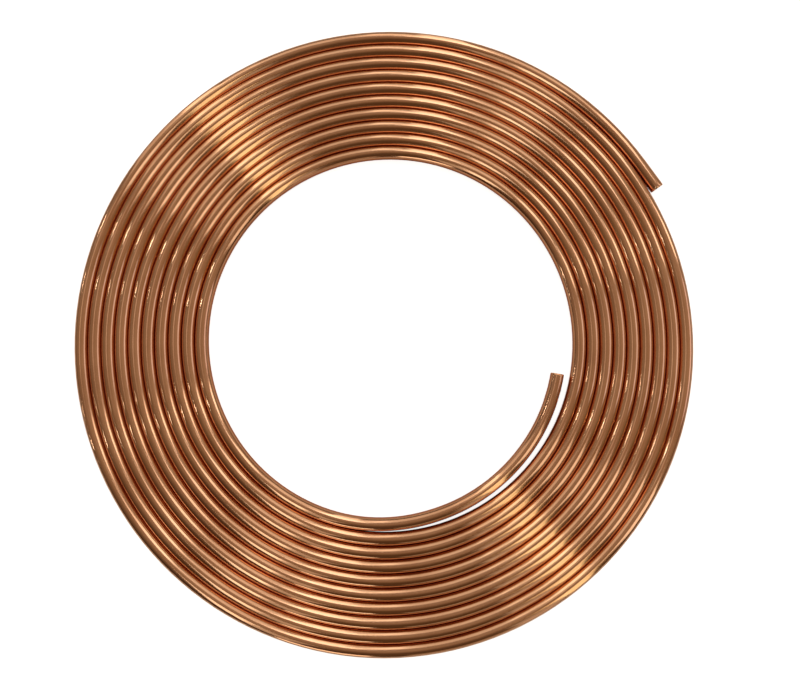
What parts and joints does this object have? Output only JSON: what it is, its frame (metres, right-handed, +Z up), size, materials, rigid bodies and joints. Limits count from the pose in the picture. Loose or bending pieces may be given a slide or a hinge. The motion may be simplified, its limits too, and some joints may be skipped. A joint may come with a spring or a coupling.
{
  "type": "copper tube coil",
  "caption": "Flat single-layer coil of soft copper tube, wound as a spiral around an open eye, with both ends of the tube cut square and open.",
  "frame": {"origin": "middle of the coil's outline, on the floor that the coil lies on", "axes": "+Z up through the coil's eye, +X to the right and +Y away from the viewer, who looks down on the coil"},
  "size_m": [0.595, 0.6041, 0.0127],
  "materials": {
    "copper": "bright drawn, satin to glossy"
  },
  "bodies": {
    "root": {"copper_tube": "copper"}
  },
  "joints": []
}
